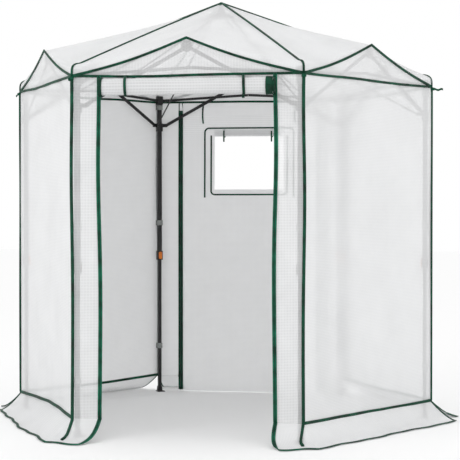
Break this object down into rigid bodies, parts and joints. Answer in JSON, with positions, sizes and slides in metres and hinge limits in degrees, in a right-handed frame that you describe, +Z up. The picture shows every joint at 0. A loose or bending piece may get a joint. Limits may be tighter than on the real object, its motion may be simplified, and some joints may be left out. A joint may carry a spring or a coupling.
{
  "type": "pop up greenhouse",
  "caption": "Hexagonal pop-up greenhouse: folding scissor frame with telescopic legs under a gabled translucent woven film cover, front door rolled up.",
  "frame": {"origin": "on the floor, under the centre of the house", "axes": "+Z up, the front door faces -Y"},
  "size_m": [2.6008, 2.3386, 2.2787],
  "materials": {
    "frame_black": "black powder coat",
    "plastic_black": "moulded black plastic",
    "lock_orange": "orange plastic",
    "zip_metal": "painted zip slider",
    "woven_film": "translucent woven film with green binding"
  },
  "bodies": {
    "cover": {"side_walls": "woven_film", "roof_cover": "woven_film", "crown_hub": "plastic_black", "door_roll": "woven_film", "back_door": "woven_film"},
    "leg_1": {"upper_leg_1": "frame_black"},
    "leg_2": {"upper_leg_2": "frame_black"},
    "leg_3": {"upper_leg_3": "frame_black"},
    "leg_4": {"upper_leg_4": "frame_black"},
    "leg_5": {"upper_leg_5": "frame_black"},
    "leg_6": {"upper_leg_6": "frame_black"},
    "slider_1": {"slider_1": "plastic_black"},
    "slider_2": {"slider_2": "plastic_black"},
    "slider_3": {"slider_3": "plastic_black"},
    "slider_4": {"slider_4": "plastic_black"},
    "slider_5": {"slider_5": "plastic_black"},
    "slider_6": {"slider_6": "plastic_black"},
    "upper_bar_left_1": {"upper_bar_left_1": "frame_black"},
    "lower_bar_left_1": {"lower_bar_left_1": "frame_black"},
    "upper_bar_right_1": {"upper_bar_right_1": "frame_black"},
    "lower_bar_right_1": {"lower_bar_right_1": "frame_black"},
    "upper_bar_left_2": {"upper_bar_left_2": "frame_black"},
    "lower_bar_left_2": {"lower_bar_left_2": "frame_black"},
    "upper_bar_right_2": {"upper_bar_right_2": "frame_black"},
    "lower_bar_right_2": {"lower_bar_right_2": "frame_black"},
    "upper_bar_left_3": {"upper_bar_left_3": "frame_black"},
    "lower_bar_left_3": {"lower_bar_left_3": "frame_black"},
    "upper_bar_right_3": {"upper_bar_right_3": "frame_black"},
    "lower_bar_right_3": {"lower_bar_right_3": "frame_black"},
    "upper_bar_left_4": {"upper_bar_left_4": "frame_black"},
    "lower_bar_left_4": {"lower_bar_left_4": "frame_black"},
    "upper_bar_right_4": {"upper_bar_right_4": "frame_black"},
    "lower_bar_right_4": {"lower_bar_right_4": "frame_black"},
    "upper_bar_left_5": {"upper_bar_left_5": "frame_black"},
    "lower_bar_left_5": {"lower_bar_left_5": "frame_black"},
    "upper_bar_right_5": {"upper_bar_right_5": "frame_black"},
    "lower_bar_right_5": {"lower_bar_right_5": "frame_black"},
    "upper_bar_left_6": {"upper_bar_left_6": "frame_black"},
    "lower_bar_left_6": {"lower_bar_left_6": "frame_black"},
    "upper_bar_right_6": {"upper_bar_right_6": "frame_black"},
    "lower_bar_right_6": {"lower_bar_right_6": "frame_black"},
    "roof_rod_1": {"roof_rod_1": "frame_black"},
    "roof_rod_2": {"roof_rod_2": "frame_black"},
    "roof_rod_3": {"roof_rod_3": "frame_black"},
    "roof_rod_4": {"roof_rod_4": "frame_black"},
    "roof_rod_5": {"roof_rod_5": "frame_black"},
    "roof_rod_6": {"roof_rod_6": "frame_black"},
    "lower_leg_1": {"lower_leg_1": "frame_black"},
    "lock_button_1": {"lock_button_1": "lock_orange"},
    "lower_leg_2": {"lower_leg_2": "frame_black"},
    "lock_button_2": {"lock_button_2": "lock_orange"},
    "lower_leg_3": {"lower_leg_3": "frame_black"},
    "lock_button_3": {"lock_button_3": "lock_orange"},
    "lower_leg_4": {"lower_leg_4": "frame_black"},
    "lock_button_4": {"lock_button_4": "lock_orange"},
    "lower_leg_5": {"lower_leg_5": "frame_black"},
    "lock_button_5": {"lock_button_5": "lock_orange"},
    "lower_leg_6": {"lower_leg_6": "frame_black"},
    "lock_button_6": {"lock_button_6": "lock_orange"},
    "zip_slider": {"zip_slider": "zip_metal"}
  },
  "joints": [
    {"name": "fold", "type": "slide", "parent": "cover", "child": "leg_1", "axis": [0.5, 0.866, 0], "range_m": [0, 0.9]},
    {"name": "leg_2_slide", "type": "slide", "parent": "cover", "child": "leg_2", "axis": [-0.5, 0.866, 0], "range_m": [0, 0.9]},
    {"name": "leg_3_slide", "type": "slide", "parent": "cover", "child": "leg_3", "axis": [-1, 0, 0], "range_m": [0, 0.9]},
    {"name": "leg_4_slide", "type": "slide", "parent": "cover", "child": "leg_4", "axis": [-0.5, -0.866, 0], "range_m": [0, 0.9]},
    {"name": "leg_5_slide", "type": "slide", "parent": "cover", "child": "leg_5", "axis": [0.5, -0.866, 0], "range_m": [0, 0.9]},
    {"name": "leg_6_slide", "type": "slide", "parent": "cover", "child": "leg_6", "axis": [1, 0, 0], "range_m": [0, 0.9]},
    {"name": "slider_1_slide", "type": "slide", "parent": "leg_1", "child": "slider_1", "axis": [0, 0, -1], "range_m": [0, 0.51]},
    {"name": "slider_2_slide", "type": "slide", "parent": "leg_2", "child": "slider_2", "axis": [0, 0, -1], "range_m": [0, 0.51]},
    {"name": "slider_3_slide", "type": "slide", "parent": "leg_3", "child": "slider_3", "axis": [0, 0, -1], "range_m": [0, 0.51]},
    {"name": "slider_4_slide", "type": "slide", "parent": "leg_4", "child": "slider_4", "axis": [0, 0, -1], "range_m": [0, 0.51]},
    {"name": "slider_5_slide", "type": "slide", "parent": "leg_5", "child": "slider_5", "axis": [0, 0, -1], "range_m": [0, 0.51]},
    {"name": "slider_6_slide", "type": "slide", "parent": "leg_6", "child": "slider_6", "axis": [0, 0, -1], "range_m": [0, 0.51]},
    {"name": "upper_bar_left_1_fold", "type": "hinge", "parent": "leg_1", "child": "upper_bar_left_1", "pos_m": [-0.52218, -0.95676, 1.808], "axis": [0, 1, 0], "range_deg": [0, 85.26]},
    {"name": "lower_bar_left_1_fold", "type": "hinge", "parent": "slider_1", "child": "lower_bar_left_1", "pos_m": [-0.52218, -0.97476, 1.655], "axis": [0, -1, 0], "range_deg": [0, 54.42]},
    {"name": "upper_bar_right_1_fold", "type": "hinge", "parent": "leg_2", "child": "upper_bar_right_1", "pos_m": [0.52218, -0.96576, 1.808], "axis": [0, -1, 0], "range_deg": [0, 85.26]},
    {"name": "lower_bar_right_1_fold", "type": "hinge", "parent": "slider_2", "child": "lower_bar_right_1", "pos_m": [0.52218, -0.98376, 1.655], "axis": [0, 1, 0], "range_deg": [0, 54.42]},
    {"name": "upper_bar_left_2_fold", "type": "hinge", "parent": "leg_2", "child": "upper_bar_left_2", "pos_m": [0.56749, -0.9306, 1.808], "axis": [-0.866, 0.5, 0], "range_deg": [0, 85.26]},
    {"name": "lower_bar_left_2_fold", "type": "hinge", "parent": "slider_2", "child": "lower_bar_left_2", "pos_m": [0.58308, -0.9396, 1.655], "axis": [0.866, -0.5, 0], "range_deg": [0, 54.42]},
    {"name": "upper_bar_right_2_fold", "type": "hinge", "parent": "leg_3", "child": "upper_bar_right_2", "pos_m": [1.09746, -0.03066, 1.808], "axis": [0.866, -0.5, 0], "range_deg": [0, 85.26]},
    {"name": "lower_bar_right_2_fold", "type": "hinge", "parent": "slider_3", "child": "lower_bar_right_2", "pos_m": [1.11305, -0.03966, 1.655], "axis": [-0.866, 0.5, 0], "range_deg": [0, 54.42]},
    {"name": "upper_bar_left_3_fold", "type": "hinge", "parent": "leg_3", "child": "upper_bar_left_3", "pos_m": [1.08967, 0.02616, 1.808], "axis": [-0.866, -0.5, 0], "range_deg": [0, 85.26]},
    {"name": "lower_bar_left_3_fold", "type": "hinge", "parent": "slider_3", "child": "lower_bar_left_3", "pos_m": [1.10526, 0.03516, 1.655], "axis": [0.866, 0.5, 0], "range_deg": [0, 54.42]},
    {"name": "upper_bar_right_3_fold", "type": "hinge", "parent": "leg_4", "child": "upper_bar_right_3", "pos_m": [0.57528, 0.9351, 1.808], "axis": [0.866, 0.5, 0], "range_deg": [0, 85.26]},
    {"name": "lower_bar_right_3_fold", "type": "hinge", "parent": "slider_4", "child": "lower_bar_right_3", "pos_m": [0.59087, 0.9441, 1.655], "axis": [-0.866, -0.5, 0], "range_deg": [0, 54.42]},
    {"name": "upper_bar_left_4_fold", "type": "hinge", "parent": "leg_4", "child": "upper_bar_left_4", "pos_m": [0.52218, 0.95676, 1.808], "axis": [0, -1, 0], "range_deg": [0, 85.26]},
    {"name": "lower_bar_left_4_fold", "type": "hinge", "parent": "slider_4", "child": "lower_bar_left_4", "pos_m": [0.52218, 0.97476, 1.655], "axis": [0, 1, 0], "range_deg": [0, 54.42]},
    {"name": "upper_bar_right_4_fold", "type": "hinge", "parent": "leg_5", "child": "upper_bar_right_4", "pos_m": [-0.52218, 0.96576, 1.808], "axis": [0, 1, 0], "range_deg": [0, 85.26]},
    {"name": "lower_bar_right_4_fold", "type": "hinge", "parent": "slider_5", "child": "lower_bar_right_4", "pos_m": [-0.52218, 0.98376, 1.655], "axis": [0, -1, 0], "range_deg": [0, 54.42]},
    {"name": "upper_bar_left_5_fold", "type": "hinge", "parent": "leg_5", "child": "upper_bar_left_5", "pos_m": [-0.56749, 0.9306, 1.808], "axis": [0.866, -0.5, 0], "range_deg": [0, 85.26]},
    {"name": "lower_bar_left_5_fold", "type": "hinge", "parent": "slider_5", "child": "lower_bar_left_5", "pos_m": [-0.58308, 0.9396, 1.655], "axis": [-0.866, 0.5, 0], "range_deg": [0, 54.42]},
    {"name": "upper_bar_right_5_fold", "type": "hinge", "parent": "leg_6", "child": "upper_bar_right_5", "pos_m": [-1.09746, 0.03066, 1.808], "axis": [-0.866, 0.5, 0], "range_deg": [0, 85.26]},
    {"name": "lower_bar_right_5_fold", "type": "hinge", "parent": "slider_6", "child": "lower_bar_right_5", "pos_m": [-1.11305, 0.03966, 1.655], "axis": [0.866, -0.5, 0], "range_deg": [0, 54.42]},
    {"name": "upper_bar_left_6_fold", "type": "hinge", "parent": "leg_6", "child": "upper_bar_left_6", "pos_m": [-1.08967, -0.02616, 1.808], "axis": [0.866, 0.5, 0], "range_deg": [0, 85.26]},
    {"name": "lower_bar_left_6_fold", "type": "hinge", "parent": "slider_6", "child": "lower_bar_left_6", "pos_m": [-1.10526, -0.03516, 1.655], "axis": [-0.866, -0.5, 0], "range_deg": [0, 54.42]},
    {"name": "upper_bar_right_6_fold", "type": "hinge", "parent": "leg_1", "child": "upper_bar_right_6", "pos_m": [-0.57528, -0.9351, 1.808], "axis": [-0.866, -0.5, 0], "range_deg": [0, 85.26]},
    {"name": "lower_bar_right_6_fold", "type": "hinge", "parent": "slider_1", "child": "lower_bar_right_6", "pos_m": [-0.59087, -0.9441, 1.655], "axis": [0.866, 0.5, 0], "range_deg": [0, 54.42]},
    {"name": "roof_rod_1_fold", "type": "hinge", "parent": "cover", "child": "roof_rod_1", "pos_m": [-0.00498, -0.06063, 2.2], "axis": [0.866, -0.5, 0], "range_deg": [0, 59.9]},
    {"name": "roof_rod_2_fold", "type": "hinge", "parent": "cover", "child": "roof_rod_2", "pos_m": [0.05002, -0.03463, 2.2], "axis": [0.866, 0.5, 0], "range_deg": [0, 59.9]},
    {"name": "roof_rod_3_fold", "type": "hinge", "parent": "cover", "child": "roof_rod_3", "pos_m": [0.055, 0.026, 2.2], "axis": [0, 1, 0], "range_deg": [0, 59.9]},
    {"name": "roof_rod_4_fold", "type": "hinge", "parent": "cover", "child": "roof_rod_4", "pos_m": [0.00498, 0.06063, 2.2], "axis": [-0.866, 0.5, 0], "range_deg": [0, 59.9]},
    {"name": "roof_rod_5_fold", "type": "hinge", "parent": "cover", "child": "roof_rod_5", "pos_m": [-0.05002, 0.03463, 2.2], "axis": [-0.866, -0.5, 0], "range_deg": [0, 59.9]},
    {"name": "roof_rod_6_fold", "type": "hinge", "parent": "cover", "child": "roof_rod_6", "pos_m": [-0.055, -0.026, 2.2], "axis": [0, -1, 0], "range_deg": [0, 59.9]},
    {"name": "lower_leg_1_slide", "type": "slide", "parent": "leg_1", "child": "lower_leg_1", "axis": [0, 0, 1], "range_m": [0, 0.78]},
    {"name": "lock_button_1_press", "type": "slide", "parent": "leg_1", "child": "lock_button_1", "axis": [-0.5, -0.866, 0], "range_m": [0, 0.003], "stiffness_N_per_m": 600},
    {"name": "lower_leg_2_slide", "type": "slide", "parent": "leg_2", "child": "lower_leg_2", "axis": [0, 0, 1], "range_m": [0, 0.78]},
    {"name": "lock_button_2_press", "type": "slide", "parent": "leg_2", "child": "lock_button_2", "axis": [0.5, -0.866, 0], "range_m": [0, 0.003], "stiffness_N_per_m": 600},
    {"name": "lower_leg_3_slide", "type": "slide", "parent": "leg_3", "child": "lower_leg_3", "axis": [0, 0, 1], "range_m": [0, 0.78]},
    {"name": "lock_button_3_press", "type": "slide", "parent": "leg_3", "child": "lock_button_3", "axis": [1, 0, 0], "range_m": [0, 0.003], "stiffness_N_per_m": 600},
    {"name": "lower_leg_4_slide", "type": "slide", "parent": "leg_4", "child": "lower_leg_4", "axis": [0, 0, 1], "range_m": [0, 0.78]},
    {"name": "lock_button_4_press", "type": "slide", "parent": "leg_4", "child": "lock_button_4", "axis": [0.5, 0.866, 0], "range_m": [0, 0.003], "stiffness_N_per_m": 600},
    {"name": "lower_leg_5_slide", "type": "slide", "parent": "leg_5", "child": "lower_leg_5", "axis": [0, 0, 1], "range_m": [0, 0.78]},
    {"name": "lock_button_5_press", "type": "slide", "parent": "leg_5", "child": "lock_button_5", "axis": [-0.5, 0.866, 0], "range_m": [0, 0.003], "stiffness_N_per_m": 600},
    {"name": "lower_leg_6_slide", "type": "slide", "parent": "leg_6", "child": "lower_leg_6", "axis": [0, 0, 1], "range_m": [0, 0.78]},
    {"name": "lock_button_6_press", "type": "slide", "parent": "leg_6", "child": "lock_button_6", "axis": [-1, 0, 0], "range_m": [0, 0.003], "stiffness_N_per_m": 600},
    {"name": "zip_slider_travel", "type": "slide", "parent": "cover", "child": "zip_slider", "axis": [0, 0, 1], "range_m": [0, 1.55]}
  ],
  "couplings": [
    {"joint": "leg_2_slide", "follows": "fold", "ratio": 1},
    {"joint": "leg_3_slide", "follows": "fold", "ratio": 1},
    {"joint": "leg_4_slide", "follows": "fold", "ratio": 1},
    {"joint": "leg_5_slide", "follows": "fold", "ratio": 1},
    {"joint": "leg_6_slide", "follows": "fold", "ratio": 1},
    {"joint": "slider_1_slide", "follows": "fold", "ratio": 0.56611},
    {"joint": "slider_2_slide", "follows": "fold", "ratio": 0.56611},
    {"joint": "slider_3_slide", "follows": "fold", "ratio": 0.56611},
    {"joint": "slider_4_slide", "follows": "fold", "ratio": 0.56611},
    {"joint": "slider_5_slide", "follows": "fold", "ratio": 0.56611},
    {"joint": "slider_6_slide", "follows": "fold", "ratio": 0.56611},
    {"joint": "upper_bar_left_1_fold", "follows": "fold", "rad_per_m": 1.6532},
    {"joint": "lower_bar_left_1_fold", "follows": "fold", "rad_per_m": 1.0551},
    {"joint": "upper_bar_right_1_fold", "follows": "fold", "rad_per_m": 1.6532},
    {"joint": "lower_bar_right_1_fold", "follows": "fold", "rad_per_m": 1.0551},
    {"joint": "upper_bar_left_2_fold", "follows": "fold", "rad_per_m": 1.6532},
    {"joint": "lower_bar_left_2_fold", "follows": "fold", "rad_per_m": 1.0551},
    {"joint": "upper_bar_right_2_fold", "follows": "fold", "rad_per_m": 1.6532},
    {"joint": "lower_bar_right_2_fold", "follows": "fold", "rad_per_m": 1.0551},
    {"joint": "upper_bar_left_3_fold", "follows": "fold", "rad_per_m": 1.6532},
    {"joint": "lower_bar_left_3_fold", "follows": "fold", "rad_per_m": 1.0551},
    {"joint": "upper_bar_right_3_fold", "follows": "fold", "rad_per_m": 1.6532},
    {"joint": "lower_bar_right_3_fold", "follows": "fold", "rad_per_m": 1.0551},
    {"joint": "upper_bar_left_4_fold", "follows": "fold", "rad_per_m": 1.6532},
    {"joint": "lower_bar_left_4_fold", "follows": "fold", "rad_per_m": 1.0551},
    {"joint": "upper_bar_right_4_fold", "follows": "fold", "rad_per_m": 1.6532},
    {"joint": "lower_bar_right_4_fold", "follows": "fold", "rad_per_m": 1.0551},
    {"joint": "upper_bar_left_5_fold", "follows": "fold", "rad_per_m": 1.6532},
    {"joint": "lower_bar_left_5_fold", "follows": "fold", "rad_per_m": 1.0551},
    {"joint": "upper_bar_right_5_fold", "follows": "fold", "rad_per_m": 1.6532},
    {"joint": "lower_bar_right_5_fold", "follows": "fold", "rad_per_m": 1.0551},
    {"joint": "upper_bar_left_6_fold", "follows": "fold", "rad_per_m": 1.6532},
    {"joint": "lower_bar_left_6_fold", "follows": "fold", "rad_per_m": 1.0551},
    {"joint": "upper_bar_right_6_fold", "follows": "fold", "rad_per_m": 1.6532},
    {"joint": "lower_bar_right_6_fold", "follows": "fold", "rad_per_m": 1.0551},
    {"joint": "roof_rod_1_fold", "follows": "fold", "rad_per_m": 1.1614},
    {"joint": "roof_rod_2_fold", "follows": "fold", "rad_per_m": 1.1614},
    {"joint": "roof_rod_3_fold", "follows": "fold", "rad_per_m": 1.1614},
    {"joint": "roof_rod_4_fold", "follows": "fold", "rad_per_m": 1.1614},
    {"joint": "roof_rod_5_fold", "follows": "fold", "rad_per_m": 1.1614},
    {"joint": "roof_rod_6_fold", "follows": "fold", "rad_per_m": 1.1614}
  ]
}
